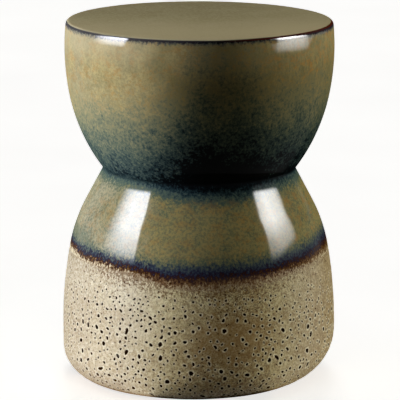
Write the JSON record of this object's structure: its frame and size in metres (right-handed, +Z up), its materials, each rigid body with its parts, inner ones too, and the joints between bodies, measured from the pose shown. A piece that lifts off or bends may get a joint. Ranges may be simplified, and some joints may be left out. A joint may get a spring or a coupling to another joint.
{
  "type": "accent stool",
  "caption": "Hollow hourglass accent stool in reactive-glazed stoneware: flat round seat, glossy bowl and waist, pitted beige lower bell, felt floor pads.",
  "frame": {"origin": "on the floor at the stool's axis, at the underside of the felt pads", "axes": "+Z up along the axis of revolution; the picture looks along +Y with +X to the right"},
  "size_m": [0.3439, 0.344, 0.45],
  "materials": {
    "stoneware": "bare fired buff clay, matt",
    "slip": "fired slip, matt",
    "gloss_glaze": "glossy reactive glaze, khaki with teal and rust speckle, pooling blue-black at the waist",
    "crater_glaze": "satin beige crater glaze with dark pits, pale rings and brown veining",
    "felt": "dark needled felt"
  },
  "bodies": {
    "root": {"seat_slab": "stoneware", "upper_bowl": "stoneware", "waist_coil": "stoneware", "lower_bell": "stoneware", "seat_slip_seam": "slip", "waist_slip_seam": "slip", "bowl_gloss_glaze": "gloss_glaze", "bell_gloss_glaze": "gloss_glaze", "crater_glaze": "crater_glaze", "floor_pad_1": "felt", "floor_pad_2": "felt", "floor_pad_3": "felt", "floor_pad_4": "felt"}
  },
  "joints": []
}
